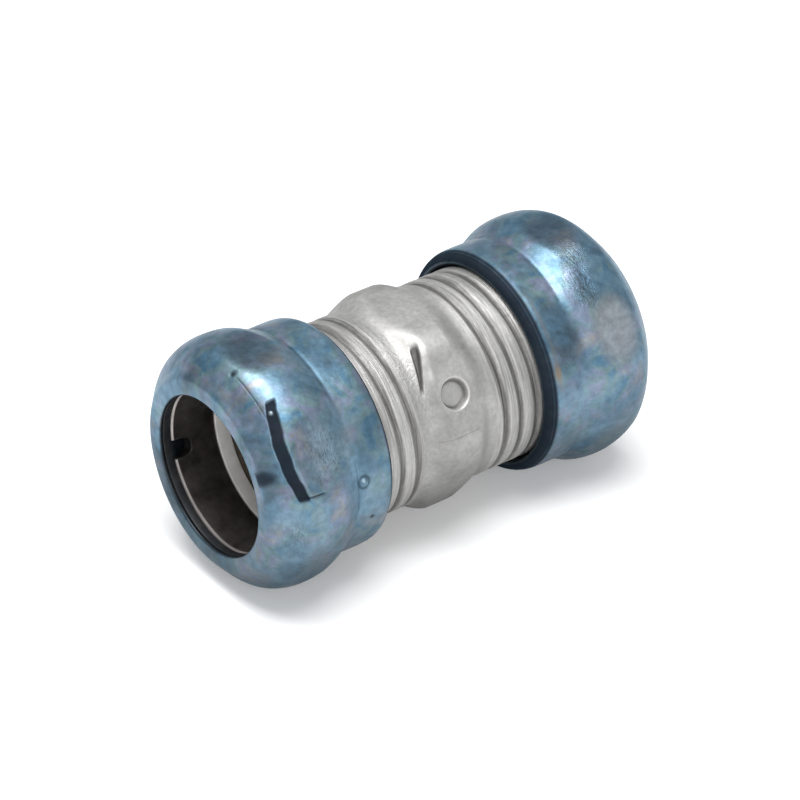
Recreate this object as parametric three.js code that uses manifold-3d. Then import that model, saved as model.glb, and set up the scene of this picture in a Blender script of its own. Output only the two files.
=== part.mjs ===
// A half-inch EMT compression coupling: a threaded steel body with a hexagonal waist, and at each end
// a gland nut with a seal in its mouth, which squeezes a split compression ring and a sealing ring
// onto the conduit.
// Millimetres. The conduit axis is X, +Z is up, and the origin is the body's mid-plane on that axis.
import * as THREE from "three";
import { mergeVertices } from "three/addons/utils/BufferGeometryUtils.js";
import Module from "manifold-3d";

const wasm = await Module();
wasm.setup();

// ---- driving dimensions -------------------------------------------------------------------------

const SEGMENTS = 36; // facets round the axis
const CONDUIT_R = 8.967; // half-inch EMT, outside radius
const BORE_R = CONDUIT_R + 0.183; // a sliding fit on the conduit

const THREAD = { pitch: 25.4 / 12, crestR: 11.19, rootR: 10.62, crestHalf: 0.36, rootHalf: 0.72 };
const THREAD_CLEARANCE = 0.14; // between the male ridge and the groove in the nut
const THREAD_FADE = Math.PI / 3; // the angle over which a thread's end tapers away

const BODY = {
  half: 16.9, // mid-plane to each end
  hexFlat: 11.5, // half the width across the waist's flats
  hexBulge: 12.44, // the waist's radius at its corners
  bulgeHalf: 1.37, // half-length of the full bulge
  waistHalf: 4.15, // where the bulge has died into the tube
  threadStart: 5.3, // mid-plane to the thread's inner end
  leadIn: 0.5, // chamfer on each end's outside
  flareR: 10.05, // radius of the flared mouth
  flareDepth: 3.2,
};
// Distance of a thread ridge from the mid-plane at the angle zero of each end's own frame.
const RIDGE_PHASE = { left: 6.7, right: 6.24 };

const STOP = { flats: [30, 150, 270], r: 1.35, depth: 0.55, reach: 8.2 }; // dimples that stop the conduit

const NUT = {
  length: 15.46,
  hexFlat: 13.8, // half the width across flats
  boreR: 10.78, // inside radius between the thread grooves
  chamberR: 10.9, // the room for the compression ring
  chamberFrom: 7.4, // skirt to the chamber
  grooveOver: 2.0, // how far the thread groove runs on into the chamber
  lip: 0.5, // thickness of the lip round the mouth
  sealSeatR: 10.4, // the seat of the mouth seal, behind the lip
  sealSeat: 1.1, // length of that seat
  cone: 1.5, // length of the cone that closes the compression ring
};
// The nut's round envelope: distance from the skirt's end, and radius.
const NUT_PROFILE = [
  [0, 12.1], [0.25, 12.65], [0.8, 12.95], [4.6, 12.97], [5.6, 13.15], [6.5, 13.55], [7.6, 14.08],
  [8.6, 14.22], [10.4, 14.26], [11.6, 14.06], [12.7, 13.65], [13.6, 12.98], [14.4, 12.1], [15.1, 11.25],
];
const MOUTH_RIM_R = 10.6; // outside of the flat rim round the mouth

const EDGE_ROUND = 0.15; // rounding where the flats meet the round envelope

// Each front is a distance back from the nut's mouth.
const MOUTH_SEAL = { front: 0.6, length: 0.9, outerR: 10.3 };
const RING = { front: 1.65, length: 5.5, outerR: 10.65, endR: 9.9, cone: 1.2 };
const NOTCH = { width: 2.2, depth: 2.3 }; // in the ring's front edge
const SPLIT = 1.0; // width of the gap that lets the ring close
const SEAL = { gap: 0.12, length: 1.7, boreR: 9.08, frontR: 9.85, rearR: 9.5 };

// Each nut stands a whole number of sixths of a turn along its thread, so its flats lie like the body's.
const ENDS = {
  left: { sixths: 9, notchAngle: 194 },
  right: { sixths: 13, notchAngle: 60 },
};
const COLOURS = {
  zinc: { color: 0xb9b8b4, roughness: 0.35, metalness: 1.0 },
  blueZinc: { color: 0x5f8299, roughness: 0.3, metalness: 0.9 },
  blackOxide: { color: 0x2c2927, roughness: 0.45, metalness: 0.8 },
  nylon: { color: 0xd9d5cb, roughness: 0.6, metalness: 0.0 },
  rubber: { color: 0x1c1d1f, roughness: 0.7, metalness: 0.0 },
};

// ---- shapes -------------------------------------------------------------------------------------

const degrees = THREE.MathUtils.degToRad;
const smooth = (t) => THREE.MathUtils.smoothstep(t, 0, 1);

// Radius of a hexagon's side at an angle: flats face up and down, corners lie along Y.
function hexRadius(flat, angle) {
  const sixth = Math.PI / 3;
  const fromFlat = (((angle - sixth / 2) % sixth) + 1.5 * sixth) % sixth - sixth / 2;
  return flat / Math.cos(fromFlat);
}

// The smaller of two radii, with a rounded corner between them.
function softMin(a, b, round) {
  const h = THREE.MathUtils.clamp(0.5 + (0.5 * (b - a)) / round, 0, 1);
  return b + (a - b) * h - round * h * (1 - h);
}

// A closed solid round the X axis from rows of [x, radius or radius(angle)] that run once round its section.
function ringGeometry(rows) {
  const position = [];
  const index = [];
  rows.forEach(([x, radius]) => {
    for (let i = 0; i < SEGMENTS; i++) {
      const angle = (2 * Math.PI * i) / SEGMENTS;
      const r = typeof radius === "function" ? radius(angle) : radius;
      position.push(x, r * Math.cos(angle), r * Math.sin(angle));
    }
  });
  for (let j = 0; j < rows.length; j++) {
    const next = (j + 1) % rows.length;
    for (let i = 0; i < SEGMENTS; i++) {
      const k = (i + 1) % SEGMENTS;
      const [a, b] = [j * SEGMENTS + i, j * SEGMENTS + k];
      const [c, d] = [next * SEGMENTS + k, next * SEGMENTS + i];
      index.push(a, b, c, a, c, d);
    }
  }
  const geometry = new THREE.BufferGeometry();
  geometry.setAttribute("position", new THREE.Float32BufferAttribute(position, 3));
  return geometry.setIndex(index);
}

// A right-hand helical ridge from one x to another, whose centre line is x = phase + pitch * angle / turn.
// grow fattens it all round, for cutting the groove that it runs in.
function ridgeGeometry(from, to, phase, grow) {
  const perRadian = THREAD.pitch / (2 * Math.PI);
  const step = (2 * Math.PI) / SEGMENTS;
  const first = Math.ceil((from - phase) / perRadian / step);
  const last = Math.floor((to - phase) / perRadian / step);
  const buried = THREAD.rootR - 0.15;
  const position = [];
  const index = [];
  for (let n = first; n <= last; n++) {
    const angle = n * step;
    const x = phase + perRadian * angle;
    const fade = smooth(Math.min(n - first, last - n, THREAD_FADE / step) / (THREAD_FADE / step));
    const crest = THREE.MathUtils.lerp(buried + 0.02, THREAD.crestR + grow, fade);
    const [inner, outer] = [THREAD.rootHalf + grow, THREAD.crestHalf + grow];
    for (const [dx, r] of [[-inner, buried], [-outer, crest], [outer, crest], [inner, buried]]) {
      position.push(x + dx, r * Math.cos(angle), r * Math.sin(angle));
    }
  }
  const stations = last - first + 1;
  for (let n = 0; n < stations - 1; n++) {
    for (let k = 0; k < 4; k++) {
      const [a, b] = [4 * n + k, 4 * n + ((k + 1) % 4)];
      index.push(a, b + 4, b, a, a + 4, b + 4);
    }
  }
  const end = 4 * (stations - 1);
  index.push(0, 1, 2, 0, 2, 3, end, end + 2, end + 1, end, end + 3, end + 2);
  const geometry = new THREE.BufferGeometry();
  geometry.setAttribute("position", new THREE.Float32BufferAttribute(position, 3));
  return geometry.setIndex(index);
}

// ---- solids -------------------------------------------------------------------------------------

// A closed geometry as a manifold-3d solid.
function solid(geometry) {
  const bare = new THREE.BufferGeometry();
  bare.setAttribute("position", geometry.getAttribute("position"));
  bare.setIndex(geometry.getIndex());
  const merged = mergeVertices(bare, 1e-4);
  const vertProperties = merged.attributes.position.array;
  const triVerts = new Uint32Array(merged.index.array);
  return new wasm.Manifold(new wasm.Mesh({ numProp: 3, vertProperties, triVerts }));
}

// A solid back as a three.js geometry, with flat shading.
function geometryOf(manifold) {
  const mesh = manifold.getMesh();
  const geometry = new THREE.BufferGeometry();
  geometry.setAttribute("position", new THREE.BufferAttribute(mesh.vertProperties, 3));
  geometry.setIndex(new THREE.BufferAttribute(mesh.triVerts, 1));
  const flat = geometry.toNonIndexed();
  flat.computeVertexNormals();
  return flat;
}

// A short cylinder that points out along a radius of the X axis.
function radialPlug(angle, r, from, to) {
  const plug = new THREE.CylinderGeometry(r, r, to - from, 16);
  plug.translate(0, (from + to) / 2, 0);
  plug.rotateX(degrees(angle)); // the cylinder's own axis is Y, which is the angle zero
  return solid(plug);
}

// ---- parts --------------------------------------------------------------------------------------

function bodyRadius(x) {
  const away = Math.abs(x);
  const rise = 1 - smooth((away - BODY.bulgeHalf) / (BODY.waistHalf - BODY.bulgeHalf));
  const envelope = THREAD.crestR + (BODY.hexBulge - THREAD.crestR) * rise;
  return (angle) => softMin(envelope, hexRadius(BODY.hexFlat, angle), EDGE_ROUND);
}

function couplingBody() {
  const { half, waistHalf, threadStart, leadIn, flareR, flareDepth } = BODY;
  const waist = [-waistHalf, -3.3, -2.4, -BODY.bulgeHalf, 0, BODY.bulgeHalf, 2.4, 3.3, waistHalf];
  const rows = [
    [-half, THREAD.rootR - 0.25],
    [-half + leadIn, THREAD.rootR],
    [-threadStart - 0.4, THREAD.rootR],
    [-threadStart + 0.2, THREAD.crestR],
    ...waist.map((x) => [x, bodyRadius(x)]),
    [threadStart - 0.2, THREAD.crestR],
    [threadStart + 0.4, THREAD.rootR],
    [half - leadIn, THREAD.rootR],
    [half, THREAD.rootR - 0.25],
    [half, flareR],
    [half - flareDepth, BORE_R],
    [-half + flareDepth, BORE_R],
    [-half, flareR],
  ];
  let body = solid(ringGeometry(rows));
  for (const flat of STOP.flats) {
    body = body.add(radialPlug(flat, STOP.r + 0.3, STOP.reach, BODY.hexFlat - 1));
    body = body.subtract(radialPlug(flat, STOP.r, BODY.hexFlat - STOP.depth, BODY.hexFlat + 2));
  }
  const right = ridgeGeometry(threadStart, half - leadIn, RIDGE_PHASE.right, 0);
  const left = ridgeGeometry(threadStart, half - leadIn, RIDGE_PHASE.left, 0).rotateZ(Math.PI);
  return geometryOf(body.add(solid(right)).add(solid(left)));
}

// The nut for the right-hand end: its skirt at x = 0 and its mouth at x = NUT.length.
function glandNut() {
  const outside = NUT_PROFILE.map(([x, r]) => [
    x,
    (angle) => softMin(r, hexRadius(NUT.hexFlat, angle), EDGE_ROUND),
  ]);
  const lipBack = NUT.length - NUT.lip;
  const seatBack = lipBack - NUT.sealSeat;
  const rows = [
    ...outside,
    [NUT.length, MOUTH_RIM_R],
    [NUT.length, BORE_R],
    [lipBack, BORE_R],
    [lipBack, NUT.sealSeatR],
    [seatBack, NUT.sealSeatR],
    [seatBack, RING.endR + 0.12],
    [seatBack - NUT.cone, NUT.chamberR],
    [NUT.chamberFrom, NUT.chamberR],
    [NUT.chamberFrom - 0.2, NUT.boreR],
    [0.7, NUT.boreR],
    [0, THREAD.crestR + 0.3],
  ];
  const groove = ridgeGeometry(-THREAD.pitch, NUT.chamberFrom + NUT.grooveOver, 0, THREAD_CLEARANCE);
  return geometryOf(solid(ringGeometry(rows)).subtract(solid(groove)));
}

// The seal behind the nut's lip, in the nut's own frame.
function mouthSeal() {
  const front = NUT.length - MOUTH_SEAL.front;
  const rear = front - MOUTH_SEAL.length;
  return ringGeometry([
    [rear, BORE_R],
    [rear, MOUTH_SEAL.outerR],
    [front, MOUTH_SEAL.outerR],
    [front, BORE_R],
  ]);
}

// The compression ring in the nut's own frame, with a notch at the angle given and its split opposite.
function compressionRing(notchAngle) {
  const front = NUT.length - RING.front;
  const rear = front - RING.length;
  const ring = solid(
    ringGeometry([
      [rear, BORE_R],
      [rear, RING.endR],
      [rear + RING.cone, RING.outerR],
      [front - RING.cone, RING.outerR],
      [front, RING.endR],
      [front, BORE_R],
    ]),
  );
  const across = RING.outerR - 0.5;
  const notch = new THREE.BoxGeometry(2 * NOTCH.depth, 4, NOTCH.width);
  notch.translate(front, across, 0).rotateX(degrees(notchAngle));
  const split = new THREE.BoxGeometry(RING.length + 2, 4, SPLIT);
  split.translate((front + rear) / 2, across, 0).rotateX(degrees(notchAngle + 180));
  return geometryOf(ring.subtract(solid(notch)).subtract(solid(split)));
}

// The sealing ring behind it, tapered to enter the body's flare.
function sealingRing() {
  const front = NUT.length - RING.front - RING.length - SEAL.gap;
  const rear = front - SEAL.length;
  return ringGeometry([
    [rear, SEAL.boreR],
    [rear, SEAL.rearR],
    [front - 0.3, SEAL.frontR],
    [front, SEAL.frontR],
    [front, SEAL.boreR],
  ]);
}

// ---- assembly -----------------------------------------------------------------------------------

function named(name, geometry, look) {
  const material = new THREE.MeshStandardMaterial({ ...look, flatShading: true });
  const mesh = new THREE.Mesh(geometry, material);
  mesh.name = name;
  return mesh;
}

// One end: the nut, its ring and its seals on the right-hand thread, then turned round Z for the left.
function end(side) {
  const { sixths, notchAngle } = ENDS[side];
  const skirt = RIDGE_PHASE[side] + (sixths * THREAD.pitch) / 6;
  const nut = named(`gland_nut_${side}`, glandNut(), COLOURS.blueZinc);
  nut.rotation.x = degrees(60 * sixths);
  const group = new THREE.Group();
  group.add(nut);
  group.add(named(`mouth_seal_${side}`, mouthSeal(), COLOURS.rubber));
  group.add(named(`compression_ring_${side}`, compressionRing(notchAngle), COLOURS.blackOxide));
  group.add(named(`sealing_ring_${side}`, sealingRing(), COLOURS.nylon));
  group.position.x = side === "left" ? -skirt : skirt;
  group.rotation.z = side === "left" ? Math.PI : 0;
  return group;
}

const coupling = new THREE.Group();
coupling.name = "conduit_compression_coupling";
coupling.add(named("coupling_body", couplingBody(), COLOURS.zinc));
coupling.add(end("left"));
coupling.add(end("right"));

export default coupling;
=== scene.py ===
import math

import bmesh
import bpy
import numpy as np
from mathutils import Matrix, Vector


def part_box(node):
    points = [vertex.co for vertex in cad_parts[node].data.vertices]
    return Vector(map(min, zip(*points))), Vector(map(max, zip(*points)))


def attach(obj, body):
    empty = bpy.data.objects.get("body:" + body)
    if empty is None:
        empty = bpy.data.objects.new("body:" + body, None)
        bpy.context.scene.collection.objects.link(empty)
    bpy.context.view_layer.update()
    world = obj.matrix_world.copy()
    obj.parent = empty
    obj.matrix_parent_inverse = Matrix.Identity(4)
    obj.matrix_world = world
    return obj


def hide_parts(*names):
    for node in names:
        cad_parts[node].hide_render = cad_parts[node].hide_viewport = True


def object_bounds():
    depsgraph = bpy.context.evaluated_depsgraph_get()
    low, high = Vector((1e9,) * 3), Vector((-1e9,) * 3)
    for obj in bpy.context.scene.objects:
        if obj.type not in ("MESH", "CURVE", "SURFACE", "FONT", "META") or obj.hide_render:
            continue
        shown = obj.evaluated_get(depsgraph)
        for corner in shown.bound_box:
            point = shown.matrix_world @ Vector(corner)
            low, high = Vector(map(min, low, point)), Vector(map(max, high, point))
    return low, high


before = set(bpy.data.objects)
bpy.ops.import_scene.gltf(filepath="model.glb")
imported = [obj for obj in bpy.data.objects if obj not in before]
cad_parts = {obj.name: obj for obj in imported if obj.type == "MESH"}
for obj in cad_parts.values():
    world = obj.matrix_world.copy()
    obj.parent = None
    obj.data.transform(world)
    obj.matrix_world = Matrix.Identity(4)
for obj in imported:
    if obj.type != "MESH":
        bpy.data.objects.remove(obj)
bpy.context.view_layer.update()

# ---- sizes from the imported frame, in millimetres --------------------------------------------------

MM = 0.001
SIDES = ("left", "right")


def span(node, axis):
    """Lowest and highest value of a CAD node along one axis, in millimetres."""
    low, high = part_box(node)
    return low[axis] / MM, high[axis] / MM


def along(node, side):
    """Nearest and farthest distance of a CAD node from the mid-plane, in millimetres."""
    low, high = span(node, 0)
    return (low, high) if side == "right" else (-high, -low)


SKIRT = {side: along(f"gland_nut_{side}", side)[0] for side in SIDES}  # mid-plane to each nut's skirt
NUT_LENGTH = along("gland_nut_left", "left")[1] - SKIRT["left"]
NUT_FLAT = span("gland_nut_left", 2)[1]  # half the width across the nut's flats
BODY_HALF = span("coupling_body", 0)[1]
BODY_CORNER = span("coupling_body", 1)[1]
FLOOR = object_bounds()[0].z  # in metres

# ---- sizes that the frame's boxes don't give, in millimetres and degrees --------------------------
# Each end has its own frame: x points out from the mid-plane, and the left end's is turned round Z.

PITCH = 25.4 / 12
THREAD_CREST = 11.19  # radius
THREAD_DEPTH = 0.27
THREAD_START = 5.3  # mid-plane to the inner end of the body's thread
THREAD_LEAD = 0.9  # how far before that end its grooves begin to show
THREAD_RISE = 1.0  # length over which they reach their depth
GROOVE_HALF = 0.62  # half the width of the groove between two crests
RIDGE_PHASE = {"left": 6.7, "right": 6.24}  # mid-plane to a crest at the angle zero

BORE = 9.15  # radius of the body's bore and of the nuts' mouths
BODY_FLAT = 11.5  # half the width across the waist's flats
BODY_CHAMFER = 0.5
WAIST_ROUNDING = 0.7  # where the waist's flats meet its round envelope
BULGE_HALF = 1.3  # half the length of the waist's full bulge
BULGE_FADE = 2.9  # length over which it dies into the tube
BODY_MARKS = 4.5  # the marks on the waist lie within this of the mid-plane
BODY_MARKS_ANGLE = 34  # and within this of their flat's middle
DIMPLE_R = 1.78
DIMPLE_DEPTH = 0.7
DIMPLE_BACK_R = 1.75
DIMPLE_BACK_HEIGHT = 0.9  # how far a dimple's back stands into the bore
BODY_ROW = 0.12  # distance between the rows of points along the body
BODY_FLATS = {"back": 30.0, "front": 150.0, "under": 270.0}  # angles of the flats with a stop dimple

NUT_MIDDLE = 13.2  # radius at which distances round a nut are measured
NUT_PROFILE = [  # distance from the skirt, and radius of the nut's round envelope
    [0.0, 11.95], [0.15, 12.25], [0.45, 12.55], [0.85, 12.8], [1.4, 12.94], [2.2, 12.98], [3.4, 12.98],
    [4.5, 12.97], [5.1, 12.99], [5.8, 13.2], [6.6, 13.6], [7.6, 14.04], [8.8, 14.25], [10.3, 14.27],
    [11.6, 14.08], [12.7, 13.66], [13.6, 13.0], [14.35, 12.2], [14.95, 11.5], [15.28, 11.12],
    [15.42, 10.86], [15.46, 10.6],
]
NUT_ROUNDING = 0.3  # where the nut's flats meet its round envelope
NUT_ROW = 0.14  # distance between the rows of points along a nut
SKIRT_OPENING = 11.45  # radius of the bore's chamfer at the skirt
NUT_LIP = 0.5  # thickness
SEAL_SEAT = 1.6  # mouth to the back of the mouth seal's seat
CHAMBER_R = 10.95
THREAD_RUN = 9.6  # skirt to the far end of the nut's thread
THREAD_CLEARANCE = 0.12
FINELY_MARKED = [11.6, 15.4]  # stretch of the nut that holds the finest marks
SKIRT_SHADE_BAND = {"left": 0.7, "right": 1.35}  # width of the band of painted shade at each skirt
FRONT_FLAT = {"left": 30.0, "right": 150.0}  # angle of the front flat in each end's own frame
# Painted light (above 0) or painted shade (below 0) on each flat, by the flat's angle in the world.
FLAT_LIGHT = {
    "left": {90.0: -0.9, 150.0: 0.18, 210.0: -0.3, 30.0: -0.4, 330.0: 0.4, 270.0: -0.6},
    "right": {90.0: -0.8, 150.0: 0.8, 210.0: -0.3, 30.0: -0.3, 330.0: -0.5, 270.0: -0.6},
}

RING_R = 10.62
RING_END_R = 9.85
RING_CONE = 1.2  # length of the cone at each end
RING_MIDDLE = 10.0  # radius at which the split is measured
RING_SPLIT = 1.0  # width of the gap
RING_BARE = 0.28  # width of the rubbed band at the front edge
NOTCH_ANGLE = {"left": 194.0, "right": 60.0}
NOTCH_REACH = 12  # degrees to each side of its middle that hold the notch
NOTCH_HALF = 1.1
NOTCH_DEPTH = 2.3


# ---- small mathematics ----------------------------------------------------------------------------


def smooth(t):
    """0 up to t = 0 and 1 from t = 1 on, with an S between."""
    t = np.clip(t, 0.0, 1.0)
    return t * t * (3 - 2 * t)


def soft_min(a, b, k):
    """The smaller of a and b, rounded where they are within k of each other."""
    h = np.clip(0.5 + 0.5 * (b - a) / k, 0.0, 1.0)
    return b + (a - b) * h - k * h * (1 - h)


def hex_radius(flat, angle):
    """Radius of a hexagon's side, for a hexagon with flats facing up and down."""
    from_flat = (angle % 60.0) - 30.0
    return flat / np.cos(np.radians(from_flat))


def turned(angle, centre):
    """angle minus centre, in degrees, from -180 to 180."""
    return (angle - centre + 180.0) % 360.0 - 180.0


def spaced(low, high, step, dense=()):
    """Values from low to high, step apart, or closer where dense says (from, to, finer step)."""
    out = [low]
    while out[-1] < high - 1e-9:
        x = out[-1]
        here = min([fine for a, b, fine in dense if a - 1e-9 <= x < b] + [step])
        out.append(min(x + here, high))
    if len(out) > 2 and out[-1] - out[-2] < 0.3 * step:
        del out[-2]
    return np.array(out)


def spline(points, per_span):
    """A Catmull-Rom curve through points, as rows of [x, r]."""
    p = np.array(points, float)
    p = np.vstack([2 * p[0] - p[1], p, 2 * p[-1] - p[-2]])
    rows = []
    for a, b, c, d in zip(p[:-3], p[1:-2], p[2:-1], p[3:]):
        for t in np.arange(per_span) / per_span:
            linear = 2 * b + (c - a) * t
            rows.append(0.5 * (linear + (2 * a - 5 * b + 4 * c - d) * t**2 + (3 * b - a - 3 * c + d) * t**3))
    rows.append(p[-2])
    return np.array(rows)


def slab(value, low, high, edge):
    """1 between low and high and 0 outside, over a soft edge."""
    return smooth((value - low) / edge + 0.5) * smooth((high - value) / edge + 0.5)


def spot(x, w, x0, w0, rx, rw, power=1.0):
    """1 in the middle of an ellipse and 0 outside it, falling smoothly."""
    d = np.sqrt(((x - x0) / rx) ** 2 + ((w - w0) / rw) ** 2)
    return smooth(1.0 - d**power)


def bell(value, middle, width):
    """1 where value is middle, falling off on both sides."""
    return np.exp(-(((value - middle) / width) ** 2))


# ---- meshes ---------------------------------------------------------------------------------------


def make(name, verts, quads, side, attributes):
    """A smooth-shaded mesh object from arrays in an end's own frame."""
    verts = np.array(verts, float) * MM
    if side == "left":
        verts[:, :2] *= -1.0
    mesh = bpy.data.meshes.new(name)
    mesh.vertices.add(len(verts))
    mesh.vertices.foreach_set("co", verts.ravel())
    mesh.loops.add(quads.size)
    mesh.loops.foreach_set("vertex_index", quads.ravel())
    mesh.polygons.add(len(quads))
    mesh.polygons.foreach_set("loop_start", np.arange(0, quads.size, quads.shape[1]))
    for key, values in attributes.items():
        values = np.ascontiguousarray(values, np.float32)
        mesh.attributes.new(key, "FLOAT", "POINT").data.foreach_set("value", values)
    mesh.update(calc_edges=True)
    mesh.validate()
    mesh.polygons.foreach_set("use_smooth", np.ones(len(mesh.polygons), bool))
    piece = bpy.data.objects.new(name, mesh)
    bpy.context.scene.collection.objects.link(piece)
    return piece


def revolve(name, x, r, angle, side, attributes, closed=True):
    """A solid of revolution from rows of x and r, which run once round its section.

    Each row has a value for each angle. If not closed, the last angle isn't joined to the first."""
    a = np.radians(angle)[None, :]
    verts = np.stack([x, r * np.cos(a), r * np.sin(a)], -1).reshape(-1, 3)
    rows, columns = r.shape
    j, i = np.meshgrid(np.arange(rows), np.arange(columns if closed else columns - 1), indexing="ij")
    next_j, next_i = (j + 1) % rows, (i + 1) % columns
    corners = [j * columns + i, j * columns + next_i, next_j * columns + next_i, next_j * columns + i]
    quads = np.stack(corners, -1).reshape(-1, 4)
    values = {key: np.broadcast_to(value, r.shape).ravel() for key, value in attributes.items()}
    return make(name, verts, quads, side, values)


def level_rows(points, angle):
    """Rows of x and of radius for [x, r] points that are the same at every angle."""
    p = np.array(points, float)
    return p[:, :1] + 0 * angle, p[:, 1:] + 0 * angle


def joined(*parts):
    """The rows of several parts of a section, each a pair of x and radius, one after the other."""
    return [np.concatenate(rows) for rows in zip(*parts)]


def padded(values, rows):
    """values, with zeros after them up to a number of rows, for the hidden surfaces."""
    return np.concatenate([values, np.zeros((rows - len(values), values.shape[1]))])


def after(row, rows):
    """1 in each row from a given one on, and 0 before it."""
    return (np.arange(rows) >= row)[:, None] * 1.0


def rounded(points, steps, cut):
    """A closed outline with each corner cut back by up to cut and rounded in some steps."""
    p = np.array(points, float)
    out = []
    for k, here in enumerate(p):
        before, behind = p[k - 1] - here, p[(k + 1) % len(p)] - here
        length_before, length_behind = np.linalg.norm(before), np.linalg.norm(behind)
        back = min(cut, 0.35 * length_before, 0.35 * length_behind)
        start, end = here + before / length_before * back, here + behind / length_behind * back
        for t in np.linspace(0, 1, steps):
            out.append((1 - t) ** 2 * start + 2 * t * (1 - t) * here + t**2 * end)
    return out


class Marks:
    """What marks do to each point of a surface: depth in millimetres, and stains and painted light and
    shade.
    """

    def __init__(self, shape, *stains):
        self.depth = np.zeros(shape)
        self.stains = {name: np.zeros(shape) for name in stains}

    def add(self, area, depth=0.0, **stains):
        """Lowers the surface by depth and adds stains where area is 1, and less where area is below 1."""
        self.depth += depth * area
        for name, amount in stains.items():
            self.stains[name] += amount * area


# ---- thread ---------------------------------------------------------------------------------------


def thread_radius(x, angle, phase, clearance):
    """Radius of the threaded surface: a broad rounded crest with a narrow groove between its turns."""
    from_ridge = (x - phase - PITCH * angle / 360.0) / PITCH % 1.0
    from_groove = np.abs(from_ridge - 0.5) * PITCH
    groove = smooth(1.0 - from_groove / GROOVE_HALF)
    return THREAD_CREST + clearance - THREAD_DEPTH * groove


# ---- nuts -----------------------------------------------------------------------------------------
# Marks are placed by x, the distance from the skirt, and w, which points down across the front flat
# and is 0 at its middle, in millimetres.


def mark_left_nut(marks, x, w):
    # painted shade in the groove between the collar and the flats above the front flat
    marks.add(slab(x, 5.0, 5.4, 0.4) * slab(w, -14.0, -4.0, 3.0), dirt=0.45)

    # a bent sunk strip with painted shade in it, a painted glint near its top, a raised edge and a foot
    middle = 13.2 - 0.034 * (w + 1.6) ** 2 + 0.03 * w
    ragged = 0.05 * np.sin(1.9 * w) + 0.02 * np.sin(4.3 * w + 1)
    strip = slab(x, middle - 0.58 + ragged, middle + 0.5 + 0.6 * ragged, 0.24) * slab(w, -6.9, 3.9, 0.5)
    marks.add(strip, depth=0.13, dirt=1.3)
    marks.add(spot(x, w, 12.5, -5.8, 0.42, 0.45), depth=-0.13, dirt=-1.2, wear=1.0)
    # painted highlight on the raised edge
    raised = slab(x, middle - 0.95, middle - 0.85, 0.3) * slab(w, 0.6, 3.4, 1.4)
    marks.add(raised, depth=-0.05, wear=0.6)
    foot = slab(w, 3.55, 3.75, 0.25) * slab(x, 10.0, 12.4, 0.8)
    # painted shade in the sunk foot
    marks.add(foot, depth=0.1, dirt=0.9)

    # a crease that ends in a pit, both with painted shade in them, and a smudge at the mouth
    crease = slab(x, 13.08, 13.16, 0.16) * slab(w, -11.2, -5.6, 1.0)
    marks.add(crease, depth=0.04, dirt=1.0)
    marks.add(spot(x, w, 13.1, -11.9, 0.55, 0.6), depth=0.12, dirt=1.0)
    marks.add(spot(x, w, 15.2, 0.6, 1.3, 1.3, 2.0), dirt=0.9)

    # a bead on the collar with a ring of painted shade and a painted highlight, a pit below it and a fine
    # line beside it
    from_bead = np.hypot((x - 4.3) / 0.6, (w - 5.0) / 0.64)
    marks.add(smooth(1.15 - from_bead), depth=-0.42)
    marks.add(bell(from_bead, 1.1, 0.25), dirt=0.6)
    marks.add(spot(x, w, 4.45, 4.7, 0.35, 0.35), wear=0.8)
    # painted shade in the pit and in the fine line
    marks.add(spot(x, w, 3.0, 10.3, 0.5, 0.45), depth=0.16, dirt=0.9)
    line = slab(x, 5.0, 5.08, 0.14) * slab(w, 2.2, 8.4, 0.8)
    marks.add(line, depth=0.06, dirt=0.4)

    marks.add(spot(x, w, 8.6, 0.0, 4.0, 5.5), scuff=0.6)
    marks.add(spot(x, w, 13.2, 8.5, 2.0, 4.0), scuff=0.5)


def mark_right_nut(marks, x, w):
    # scuffs above the front flat, with a dark streak and a painted highlight
    marks.add(spot(x, w, 9.1, -9.6, 2.8, 3.4), scuff=1.0)
    marks.add(spot(x, w, 7.8, -5.6, 2.2, 4.8), scuff=1.0)
    marks.add(spot(x + 0.25 * w, w, 6.5, -5.6, 1.1, 4.4), dirt=0.4)
    marks.add(spot(x, w, 9.1, -9.8, 2.2, 2.0), wear=0.5)

    # a straw tint, and a thin paler line of painted highlight in the skirt's painted shade
    marks.add(slab(x, 1.45, 1.95, 0.5) * slab(w, -7.0, 4.5, 3.0), straw=0.3)
    marks.add(spot(x, w, 1.6, 2.2, 0.7, 1.6), straw=1.0)
    marks.add(slab(x, 0.72, 0.8, 0.12), dirt=-0.3)


def nut_marks(side, x, w):
    marks = Marks(x.shape, "wear", "dirt", "scuff", "straw")
    collar_end = slab(x, 4.95, 5.3, 0.5) * (1.0 - slab(w, -7.0, 7.0, 5.0))
    marks.add(collar_end, depth=0.07)
    # a painted highlight along the skirt's edge, and a band of painted shade at the skirt
    marks.add(slab(x, 0.4, 0.48, 0.12), wear=0.7)
    marks.add(smooth((SKIRT_SHADE_BAND[side] - x) / 0.45), dirt=1.1)
    if side == "left":
        mark_left_nut(marks, x, w)
    else:
        mark_right_nut(marks, x, w)
    return marks


def painted_flat_light(side, angle, on_flat):
    """Painted light and shade, which differ from flat to flat by the way each flat faces in the world."""
    flat_light = np.zeros(on_flat.shape)
    for world_angle, value in FLAT_LIGHT[side].items():
        own_angle = world_angle if side == "right" else 180.0 - world_angle
        flat_light = np.where(np.abs(turned(angle, own_angle)) < 30, value * on_flat, flat_light)
    return flat_light


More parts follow.
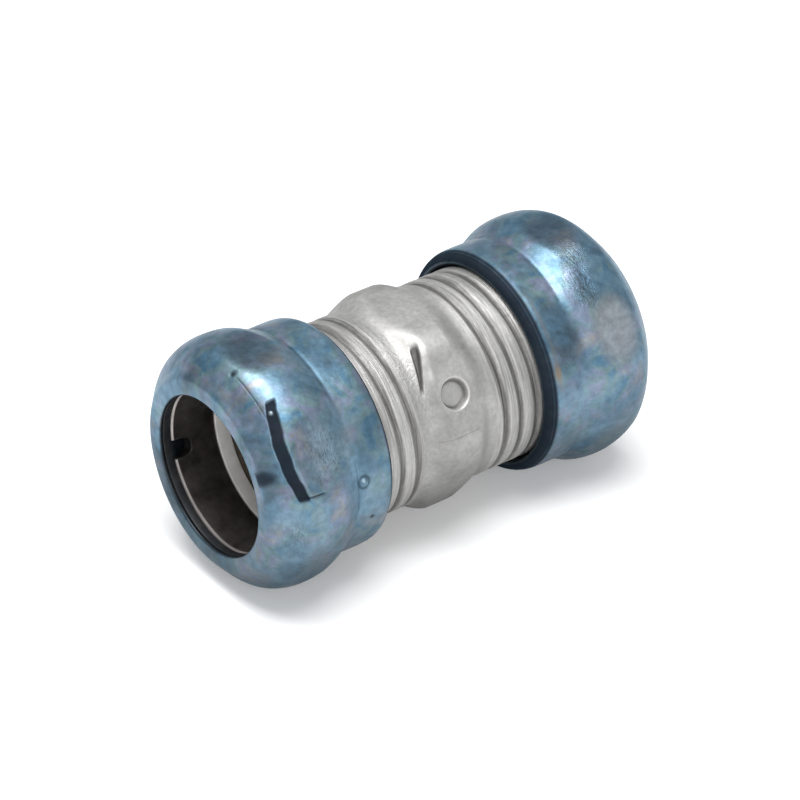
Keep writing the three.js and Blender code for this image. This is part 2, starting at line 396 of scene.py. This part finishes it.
def nut_outside(side, angle):
    """Rows of x and radius from the skirt to the mouth, and the attributes of their points."""
    outline = spline(NUT_PROFILE, 24)
    length = np.concatenate([[0], np.cumsum(np.hypot(*np.diff(outline, axis=0).T))])
    finely = np.interp(FINELY_MARKED, outline[:, 0], length)
    at = spaced(0.0, length[-1], NUT_ROW, [(*finely, NUT_ROW / 2)])
    x = np.interp(at, length, outline[:, 0])[:, None] + 0 * angle
    envelope = np.interp(at, length, outline[:, 1])[:, None]
    hexagon = hex_radius(NUT_FLAT, angle)
    down = 1.0 if side == "right" else -1.0
    w = down * np.radians(turned(angle, FRONT_FLAT[side])) * NUT_MIDDLE + 0 * x
    marks = nut_marks(side, x, w)
    r = soft_min(envelope, hexagon, NUT_ROUNDING) - marks.depth
    attributes = {key: np.clip(values, 0, 1) for key, values in marks.stains.items()}
    # painted light and shade, flat by flat
    attributes["flat_light"] = painted_flat_light(side, angle, smooth((envelope - hexagon) / 0.8 + 0.45))
    return x, r, attributes


def nut(side):
    """A nut's outside from skirt to mouth, then back through the lip, the chamber and the thread."""
    front = FRONT_FLAT[side]
    angle = spaced(0.0, 360.0, 0.75, [(front - 50, front + 58, 0.36)])[:-1]
    outside_x, outside_r, attributes = nut_outside(side, angle)
    lip = [[NUT_LENGTH, 10.3], [NUT_LENGTH, 9.5], [NUT_LENGTH - 0.05, 9.3], [NUT_LENGTH - 0.18, BORE]]
    seat = [
        [NUT_LENGTH - NUT_LIP, BORE], [NUT_LENGTH - NUT_LIP - 0.02, 10.4], [NUT_LENGTH - SEAL_SEAT, 10.4],
    ]
    chamber = [
        [NUT_LENGTH - SEAL_SEAT - 0.02, 10.05], [NUT_LENGTH - SEAL_SEAT - 1.5, CHAMBER_R],
        [THREAD_RUN + 0.1, CHAMBER_R],
    ]
    bore_x = spaced(0.55, THREAD_RUN, NUT_ROW)[::-1, None]
    opening = smooth((bore_x - 0.5) / 0.5)
    thread = thread_radius(bore_x + SKIRT[side], angle, RIDGE_PHASE[side], THREAD_CLEARANCE)
    bore_r = SKIRT_OPENING * (1 - opening) + thread * opening
    skirt_end = [[0.12, 11.55], [0.0, 11.7]]
    x, r = joined(
        (outside_x, outside_r),
        level_rows(lip + seat + chamber, angle),
        (bore_x + 0 * angle, bore_r),
        level_rows(skirt_end, angle),
    )
    attributes = {key: padded(values, len(x)) for key, values in attributes.items()}
    rim_rows = 3  # the lip's first rows are the rim of the mouth, which shows
    attributes["inside"] = after(len(outside_x) + rim_rows, len(x))
    return revolve(f"nut_shell_{side}", x + SKIRT[side], r, angle, side, attributes)


# ---- coupling body --------------------------------------------------------------------------------
# Marks are placed by x, the distance from the mid-plane, and w, which points down across the flat.


def body_marks(where, x, w):
    """The marks on one flat of the waist: a stop dimple on each, and a dent and scratches on the front."""
    marks = Marks(np.broadcast(x, w).shape, "wear", "dirt")
    d = np.hypot(x, w)
    marks.add(smooth((DIMPLE_R - d) / 0.3), depth=DIMPLE_DEPTH)
    marks.add(bell(d, 1.95, 0.22), depth=-0.05)
    # a painted highlight on the dimple's rim, painted light on its floor and painted shade round its wall
    marks.add(bell(d, 1.8, 0.12), wear=0.8)
    marks.add(smooth((1.4 - d) / 0.2), wear=0.35)
    marks.add(bell(d, 1.5, 0.13), dirt=0.85)
    if where == "front":
        down = (w + 6.1) / 4.7  # 0 at the dent's top and 1 at its point
        centre = -2.45 - 1.15 * down
        half = 0.36 - 0.28 * down
        dent = slab(x, centre - half, centre + half, 0.3) * slab(down, 0.0, 1.0, 0.25)
        marks.add(dent, depth=0.34)
        # painted shade in the dent's upper end and round its top
        marks.add(dent * smooth(1.6 - down), dirt=1.8)
        marks.add(spot(x, w, -2.5, -5.4, 0.5, 1.2), dirt=0.7)
        # a low raised spot beside the dent, with a painted highlight
        marks.add(spot(x + 0.1 * (w + 2.7), w, -2.0, -2.7, 0.5, 1.3), depth=-0.06, wear=0.9)
        # a scribed line and a tick, with painted shade in them
        scribe = slab(w, 4.35 - 0.03 * x, 4.42 - 0.03 * x, 0.12) * slab(x, -3.2, 2.2, 0.6)
        tick = slab(x, -0.05, 0.02, 0.12) * slab(w, 3.9, 4.4, 0.2)
        marks.add(np.maximum(scribe, tick), depth=0.05, dirt=0.35)
    return marks


def body_outside(angle):
    """Rows of x and radius from the left end to the right, and the attributes of their points."""
    reach = BODY_HALF - BODY_CHAMFER
    x = spaced(-reach, reach, BODY_ROW, [(-4.0, 4.0, 0.07)])[:, None]
    away = np.abs(x)
    tube = THREAD_CREST - 0.02  # just below the thread's crests
    envelope = tube + (BODY_CORNER - tube) * (1 - smooth((away - BULGE_HALF) / BULGE_FADE))
    waist = soft_min(envelope, hex_radius(BODY_FLAT, angle), WAIST_ROUNDING)
    thread = np.where(
        x > 0,
        thread_radius(x, angle, RIDGE_PHASE["right"], 0.0),
        thread_radius(-x, 180.0 - angle, RIDGE_PHASE["left"], 0.0),
    )
    threaded = smooth((away - THREAD_START + THREAD_LEAD) / THREAD_RISE)
    r = waist * (1 - threaded) + thread * threaded
    r = r - smooth((away - BODY_HALF + 1.2) / 0.9) * BODY_CHAMFER
    crest_band = 0.12  # depth below the crest down to which the thread is paler; below it lies painted shade
    wear = np.clip((r - THREAD_CREST + crest_band) / crest_band, 0, 1) * threaded * 0.5
    # painted shade in the thread's grooves
    dirt = np.clip((THREAD_CREST - crest_band - r) / 0.2, 0, 1) * threaded
    for where, centre in BODY_FLATS.items():
        from_centre = turned(angle, centre)
        marks = body_marks(where, x, np.radians(from_centre) * BODY_FLAT)
        near = (np.abs(from_centre) < BODY_MARKS_ANGLE) * (away < BODY_MARKS)
        r = r - marks.depth * near
        wear = wear + marks.stains["wear"] * near
        dirt = dirt + marks.stains["dirt"] * near
    w = np.radians(turned(angle, BODY_FLATS["front"])) * BODY_FLAT
    stipple = slab(x, -5.2, -2.9 - 0.12 * np.abs(w + 1.0), 0.8) * slab(w, -9.5, 7.5, 2.0)
    attributes = {"wear": np.clip(wear, 0, 1), "dirt": np.clip(dirt, 0, 1), "stipple": stipple}
    attributes["thread"] = threaded + 0 * r
    return x + 0 * angle, r, attributes


def body_inside(angle):
    """Rows of x and radius from the right mouth back to the left, over the backs of the stop dimples."""
    mouth = np.array([
        [BODY_HALF - 0.12, 10.42], [BODY_HALF, 10.3], [BODY_HALF, 10.12], [BODY_HALF - 0.15, 10.05],
        [BODY_HALF - 3.2, BORE + 0.02], [BODY_HALF - 3.5, BORE], [6.0, BORE],
    ])
    x = spaced(-2.6, 2.6, BODY_ROW)[::-1, None]
    stop = np.zeros((len(x), len(angle)))
    for centre in BODY_FLATS.values():
        w = np.radians(turned(angle, centre)) * BORE
        stop = np.maximum(stop, smooth((DIMPLE_BACK_R - np.hypot(x, w)) / 0.5))
    return joined(
        level_rows(mouth, angle),
        (x + 0 * angle, BORE - DIMPLE_BACK_HEIGHT * stop),
        level_rows(mouth[::-1] * [-1.0, 1.0], angle),
    )


def body():
    finer_at = {"back": (11, 0.35), "front": (32, 0.3), "under": (11, 0.35)}  # degrees to each side, step
    dense = []
    for where, (reach, step) in finer_at.items():
        dense.append((BODY_FLATS[where] - reach, BODY_FLATS[where] + reach, step))
    angle = spaced(0.0, 360.0, 1.0, dense)[:-1]
    outside_x, outside_r, attributes = body_outside(angle)
    x, r = joined((outside_x, outside_r), body_inside(angle))
    attributes = {key: padded(values, len(x)) for key, values in attributes.items()}
    attributes["inside"] = after(len(outside_x), len(x))
    return revolve("body_shell", x, r, angle, "right", attributes)


# ---- rings and seals ------------------------------------------------------------------------------


def plain_ring(name, points, side, cut):
    angle = spaced(0.0, 360.0, 1.5)[:-1]
    x, r = level_rows(rounded(points, 4, cut), angle)
    return revolve(name, x, r, angle, side, {})


def mouth_seal(side):
    # A black rubber gasket in the nut's mouth; its black also stands in for the shade in the nut's throat.
    near, far = along(f"mouth_seal_{side}", side)
    points = [[near, BORE + 0.03], [near, 10.3], [far, 10.3], [far + 0.02, BORE + 0.08]]
    return plain_ring(f"mouth_gasket_{side}", points, side, 0.12)


def sealing_ring(side):
    near, far = along(f"sealing_ring_{side}", side)
    points = [[near, 9.08], [near, 9.5], [far - 0.3, 9.85], [far, 9.85], [far, 9.08]]
    return plain_ring(f"seal_band_{side}", points, side, 0.1)


def compression_ring(side):
    """A split ring, swept round from one side of its split to the other, with a notch in its front edge."""
    near, far = along(f"compression_ring_{side}", side)
    behind_notch = far - NOTCH_DEPTH
    points = [
        [near, BORE + 0.05], [near, RING_END_R], [near + RING_CONE, RING_R], [behind_notch - 0.3, RING_R],
        [far - RING_CONE, RING_R], [far, RING_END_R], [far, BORE + 0.25], [far - 0.25, BORE + 0.02],
        [behind_notch - 0.15, BORE + 0.02], [behind_notch - 0.4, BORE + 0.02],
    ]
    half_split = math.degrees(RING_SPLIT / 2 / RING_MIDDLE)
    dense = [(180 - NOTCH_REACH, 180 + NOTCH_REACH, 0.3)]
    from_split = spaced(half_split, 360 - half_split, 1.5, dense)
    angle = NOTCH_ANGLE[side] + 180 + from_split
    x, r = level_rows(rounded(points, 5, 0.08), angle)
    bare = smooth((x - far + RING_BARE) / 0.12) * smooth((10.2 - r) / 0.3)
    across = np.abs(np.radians(from_split - 180.0) * BORE) / NOTCH_HALF
    notch = NOTCH_DEPTH * np.sqrt(np.clip(1.0 - across**4, 0.0, 1.0))
    x = np.where(x > behind_notch - 0.05, np.minimum(x, far - notch), x)
    bare = bare * (notch < 0.05)
    piece = revolve(f"split_ring_{side}", x, r, angle, side, {"bare": bare}, closed=False)
    close_ends(piece, *r.shape)
    return piece


def close_ends(piece, rows, columns):
    """Adds the two flat faces that close the ring's section at its split."""
    solid = bmesh.new()
    solid.from_mesh(piece.data)
    solid.verts.ensure_lookup_table()
    for column in (0, columns - 1):
        solid.faces.new([solid.verts[j * columns + column] for j in range(rows)])
    bmesh.ops.recalc_face_normals(solid, faces=solid.faces)
    solid.to_mesh(piece.data)
    solid.free()


# ---- materials ------------------------------------------------------------------------------------


class Look:
    """A material with a Principled surface, and short calls to add nodes to it."""

    def __init__(self, name, **surface):
        self.material = bpy.data.materials.new(name)
        self.material.use_nodes = True
        self.tree = self.material.node_tree
        self.surface = self.tree.nodes["Principled BSDF"]
        for key, value in surface.items():
            self.surface.inputs[key.replace("_", " ")].default_value = value
        self.point = self.node("ShaderNodeTexCoord").outputs["Object"]

    def node(self, kind, **settings):
        made = self.tree.nodes.new(kind)
        for key, value in settings.items():
            setattr(made, key, value)
        return made

    def plug(self, source, socket):
        if isinstance(source, (int, float, tuple, list)):
            socket.default_value = source
        else:
            self.tree.links.new(source, socket)

    def noise(self, scale, detail=4.0, rough=0.55, stretch=(1, 1, 1), offset=(0, 0, 0), distortion=0.0):
        """Noise with about scale features to a millimetre."""
        place = self.node("ShaderNodeMapping")
        place.inputs["Scale"].default_value = [s * scale / MM for s in stretch]
        place.inputs["Location"].default_value = offset
        self.plug(self.point, place.inputs["Vector"])
        made = self.node("ShaderNodeTexNoise")
        made.inputs["Scale"].default_value = 1.0
        made.inputs["Detail"].default_value = detail
        made.inputs["Roughness"].default_value = rough
        made.inputs["Distortion"].default_value = distortion
        self.plug(place.outputs["Vector"], made.inputs["Vector"])
        return made.outputs["Fac"]

    def ramp(self, source, *stops):
        """A colour that changes with source, through stops of a place and a colour."""
        made = self.node("ShaderNodeValToRGB")
        made.color_ramp.interpolation = "EASE"
        elements = made.color_ramp.elements
        while len(elements) < len(stops):
            elements.new(0.5)
        for element, (place, colour) in zip(elements, stops):
            element.position = place
            element.color = (*colour, 1.0)
        self.plug(source, made.inputs["Fac"])
        return made.outputs["Color"]

    def mix(self, factor, a, b, blend="MIX"):
        made = self.node("ShaderNodeMix", data_type="RGBA", blend_type=blend)
        self.plug(factor, made.inputs[0])
        self.plug((*a, 1.0) if isinstance(a, tuple) else a, made.inputs[6])
        self.plug((*b, 1.0) if isinstance(b, tuple) else b, made.inputs[7])
        return made.outputs[2]

    def math(self, operation, a, b, clamp=False):
        made = self.node("ShaderNodeMath", operation=operation, use_clamp=clamp)
        self.plug(a, made.inputs[0])
        self.plug(b, made.inputs[1])
        return made.outputs[0]

    def times(self, a, b):
        return self.math("MULTIPLY", a, b)

    def map(self, source, low, high, to_low, to_high):
        made = self.node("ShaderNodeMapRange", clamp=True)
        for value, socket in zip((source, low, high, to_low, to_high), made.inputs):
            self.plug(value, socket)
        return made.outputs[0]

    def attribute(self, name):
        return self.node("ShaderNodeAttribute", attribute_name=name).outputs["Fac"]

    def stained(self, base, name, strength, colour):
        """base with a colour over it where a mesh attribute says, up to strength."""
        return self.mix(self.times(self.attribute(name), strength), base, colour)

    def painted_underside_shade(self):
        """Painted shade: brightness that falls towards the underside."""
        split = self.node("ShaderNodeSeparateXYZ")
        self.plug(self.point, split.inputs[0])
        return self.map(split.outputs["Z"], -10 * MM, 3 * MM, 0.42, 1.0)

    def bump(self, *layers):
        """Bumps of (height, depth in millimetres), one on the other."""
        normal = None
        for height, depth in layers:
            made = self.node("ShaderNodeBump")
            made.inputs["Strength"].default_value = 1.0
            made.inputs["Distance"].default_value = depth * MM
            self.plug(height, made.inputs["Height"])
            if normal:
                self.plug(normal, made.inputs["Normal"])
            normal = made.outputs["Normal"]
        self.plug(normal, self.surface.inputs["Normal"])

    def paint(self, **sockets):
        for key, source in sockets.items():
            self.plug(source, self.surface.inputs[key.replace("_", " ")])


def chromate_film(look, offset):
    """Colour of the clean plating: steel blue clouds with faint violet, green and straw tints."""
    cloud = look.noise(0.17, 3.0, 0.5, offset=(offset, 0, 0), distortion=0.7)
    blue = look.ramp(
        cloud,
        (0.3, (0.062, 0.102, 0.135)),
        (0.44, (0.086, 0.16, 0.226)),
        (0.57, (0.125, 0.22, 0.295)),
        (0.74, (0.175, 0.265, 0.33)),
    )
    tint = look.ramp(
        look.noise(0.3, 3.0, 0.5, offset=(3.1, offset, 5.0), distortion=0.7),
        (0.36, (0.055, 0.145, 0.23)),
        (0.47, (0.16, 0.235, 0.225)),
        (0.56, (0.22, 0.22, 0.315)),
        (0.66, (0.28, 0.25, 0.225)),
    )
    tinted = look.map(look.noise(0.24, 3.0, 0.5, offset=(9.0, 2.0, offset)), 0.4, 0.62, 0.0, 0.58)
    return look.mix(tinted, blue, tint)


def blue_zinc(offset):
    """Blue chromate zinc plate with scuffs and dirt, and painted light and shade on flats, edges and
    hollows.
    """
    look = Look(
        f"blue_zinc_{offset}", Metallic=0.72, Coat_Roughness=0.27, Specular_Tint=(0.45, 0.55, 0.62, 1.0)
    )
    base = chromate_film(look, offset)
    # painted shade and painted light on the flats
    flat_light = look.attribute("flat_light")
    base = look.mix(look.map(flat_light, -1.0, 0.0, 0.75, 0.0), base, (0.045, 0.062, 0.08))
    base = look.mix(look.map(flat_light, 0.0, 1.0, 0.0, 0.8), base, (0.42, 0.43, 0.45))
    mottle = look.map(look.noise(1.2, 5.0, 0.6), 0.3, 0.7, 0.84, 1.28)
    base = look.mix(1.0, base, mottle, "MULTIPLY")
    # painted shade towards the underside
    base = look.mix(1.0, base, look.painted_underside_shade(), "MULTIPLY")

    scuff = look.attribute("scuff")
    lines = look.noise(2.4, 4.0, 0.65, stretch=(1.6, 0.4, 0.4), distortion=1.5)
    base = look.mix(look.times(scuff, look.map(lines, 0.47, 0.6, 0.0, 0.9)), base, (0.035, 0.045, 0.06))
    # painted highlights on edges, bumps, a glint and a corner
    base = look.stained(base, "wear", 0.5, (0.5, 0.56, 0.6))
    # dirt, and painted shade in grooves, pits, the strip and the band at the skirt
    base = look.stained(base, "dirt", 0.94, (0.014, 0.018, 0.026))
    base = look.stained(base, "straw", 1.0, (0.25, 0.215, 0.175))
    # painted shade inside the nut
    base = look.stained(base, "inside", 0.85, (0.02, 0.021, 0.024))

    dirt = look.attribute("dirt")
    # less coat and shine where dirt or painted shade lies
    free_of_dirt_and_shade = look.map(dirt, 0.0, 1.0, 1.0, 0.0)
    rough = look.map(look.noise(0.9, 4.0, 0.6, offset=(0, 7, offset)), 0.3, 0.7, 0.33, 0.5)
    look.paint(
        Base_Color=base,
        Roughness=look.math("ADD", rough, look.times(dirt, 0.35), True),
        Coat_Weight=look.times(free_of_dirt_and_shade, 0.24),
        Specular_IOR_Level=look.times(free_of_dirt_and_shade, 0.5),
    )
    look.bump(
        (look.noise(0.42, 3.0, 0.5), 0.06),
        (look.noise(2.4, 5.0, 0.6), 0.016),
        (look.noise(0.9, 3.0, 0.5, stretch=(0.25, 1, 1), offset=(4, 4, 4)), 0.02),
        (look.times(scuff, lines), 0.16),
    )
    return look.material


def zinc_steel():
    """Plain zinc plate on rolled steel: satin grey, with fine marks round the axis on its thread."""
    look = Look("zinc_steel", Metallic=0.7, Specular_Tint=(0.7, 0.7, 0.69, 1.0))
    base = look.ramp(
        look.noise(0.2, 3.0, 0.5, distortion=0.4),
        (0.3, (0.32, 0.316, 0.306)),
        (0.5, (0.4, 0.395, 0.383)),
        (0.72, (0.475, 0.468, 0.454)),
    )
    grain = look.map(look.noise(2.2, 5.0, 0.65), 0.3, 0.7, 0.86, 1.12)
    base = look.mix(1.0, base, grain, "MULTIPLY")
    # painted shade towards the underside
    base = look.mix(1.0, base, look.painted_underside_shade(), "MULTIPLY")
    thread = look.attribute("thread")
    rolled = look.noise(4.5, 4.0, 0.7, stretch=(1, 0.03, 0.03))
    base = look.mix(look.times(thread, look.map(rolled, 0.42, 0.58, 0.0, 0.85)), base, (0.13, 0.125, 0.12))
    # paler thread crests, and painted highlights on the dimples and beside the dent
    base = look.stained(base, "wear", 0.5, (0.72, 0.71, 0.7))
    # painted shade in the thread's grooves, the dimples, the dent and the scribed line
    base = look.stained(base, "dirt", 0.85, (0.06, 0.057, 0.055))
    # painted shade inside the bore, with a brown tint
    base = look.stained(base, "inside", 0.7, (0.16, 0.12, 0.075))
    rough = look.map(look.noise(1.3, 4.0, 0.6, offset=(0, 3, 0)), 0.3, 0.7, 0.46, 0.62)
    look.paint(Base_Color=base, Roughness=rough)
    look.bump(
        (look.noise(0.5, 3.0, 0.5), 0.04),
        (look.noise(3.0, 4.0, 0.6), 0.012),
        (look.times(thread, rolled), 0.1),
        (look.times(look.attribute("stipple"), look.noise(3.2, 2.0, 0.5, offset=(7, 1, 3))), 0.08),
    )
    return look.material


def dark_steel():
    """Blackened spring steel, bare at the rubbed front edge."""
    look = Look("dark_steel", Metallic=0.8)
    base = look.ramp(
        look.noise(0.4, 4.0, 0.6),
        (0.3, (0.05, 0.045, 0.043)),
        (0.55, (0.095, 0.086, 0.081)),
        (0.75, (0.14, 0.13, 0.123)),
    )
    base = look.stained(base, "bare", 1.0, (0.42, 0.39, 0.37))
    rough = look.map(look.noise(1.5, 4.0, 0.6), 0.3, 0.7, 0.35, 0.55)
    look.paint(Base_Color=base, Roughness=rough)
    look.bump((look.noise(2.0, 4.0, 0.6), 0.012), (look.noise(2.0, 2.0, 0.5, stretch=(1, 0.1, 0.1)), 0.012))
    return look.material


def polymer(name, dark, light, roughness, fine):
    look = Look(name, Metallic=0.0)
    base = look.ramp(look.noise(0.6, 4.0, 0.6), (0.3, dark), (0.7, light))
    rough = look.map(look.noise(1.4, 3.0, 0.5), 0.3, 0.7, roughness - 0.07, roughness + 0.07)
    look.paint(Base_Color=base, Roughness=rough)
    look.bump((look.noise(fine, 4.0, 0.6), 0.01))
    return look.material


# ---- the coupling ---------------------------------------------------------------------------------


def place(piece, body_name, node, slot, material):
    piece.data.materials.append(material)
    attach(piece, body_name)
    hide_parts(node)


def build():
    # the black rubber also stands in for the shade in the nuts' throats
    throat_shade_rubber = polymer("black_rubber", (0.008, 0.009, 0.011), (0.018, 0.02, 0.023), 0.45, 2.0)
    nylon = polymer("white_nylon", (0.82, 0.79, 0.75), (0.92, 0.9, 0.87), 0.5, 1.2)
    steel = dark_steel()
    place(body(), "coupling_body", "coupling_body", "zinc_steel", zinc_steel())
    for side, offset in (("left", 1), ("right", 5)):
        nut_body, ring_body = f"nut_{side}", f"ring_set_{side}"
        place(nut(side), nut_body, f"gland_nut_{side}", "blue_zinc", blue_zinc(offset))
        place(mouth_seal(side), nut_body, f"mouth_seal_{side}", "black_rubber", throat_shade_rubber)
        place(compression_ring(side), ring_body, f"compression_ring_{side}", "dark_steel", steel)
        place(sealing_ring(side), ring_body, f"sealing_ring_{side}", "white_nylon", nylon)


# ---- studio, in metres ----------------------------------------------------------------------------


def floor():
    half = 1.2
    mesh = bpy.data.meshes.new("studio_floor")
    corners = [(-half, -half, FLOOR), (half, -half, FLOOR), (half, half, FLOOR), (-half, half, FLOOR)]
    mesh.from_pydata(corners, [], [(0, 1, 2, 3)])
    piece = bpy.data.objects.new("studio_floor", mesh)
    bpy.context.scene.collection.objects.link(piece)
    white = (1.0, 1.0, 1.0, 1.0)
    look = Look("studio_floor", Roughness=0.9, Emission_Color=white, Emission_Strength=0.2)
    look.paint(Base_Color=(0.82, 0.82, 0.82, 1.0))
    mesh.materials.append(look.material)


def softbox(name, location, size, watts):
    """A soft rectangular light that faces the origin."""
    light = bpy.data.lights.new(name, "AREA")
    light.shape = "RECTANGLE"
    light.size, light.size_y = size
    light.energy = watts
    piece = bpy.data.objects.new(name, light)
    piece.location = location
    piece.rotation_euler = (-Vector(location)).to_track_quat("-Z", "Y").to_euler()
    bpy.context.scene.collection.objects.link(piece)


def studio():
    scene = bpy.context.scene
    scene.view_settings.view_transform = "Standard"
    world = bpy.data.worlds.new("studio")
    scene.world = world
    world.use_nodes = True
    background = world.node_tree.nodes["Background"]
    background.inputs["Color"].default_value = (0.93, 0.96, 1.0, 1.0)
    background.inputs["Strength"].default_value = 0.42
    softbox("key", location=(-0.045, -0.02, 0.43), size=(0.4, 0.22), watts=2.7)
    softbox("front", location=(-0.3, -0.5, 0.3), size=(0.5, 0.3), watts=1.3)


def camera():
    """Looks from 37 degrees round from -Y towards -X, and from 34 degrees above the floor."""
    azimuth, elevation = math.radians(-36.9), math.radians(34.09)
    distance = 0.4263
    level = math.cos(elevation)
    back = Vector((math.sin(azimuth) * level, -math.cos(azimuth) * level, math.sin(elevation)))
    turn = back.to_track_quat("Z", "Y")
    aim = turn @ Vector((0.00014, -0.00036, 0.0))
    data = bpy.data.cameras.new("camera")
    data.lens = 175.9
    data.sensor_width = 36.0
    data.clip_start = 0.01
    data.clip_end = 10.0
    piece = bpy.data.objects.new("camera", data)
    piece.location = aim + back * distance
    piece.rotation_euler = turn.to_euler()
    bpy.context.scene.collection.objects.link(piece)
    bpy.context.scene.camera = piece


camera()
build()
floor()
studio()
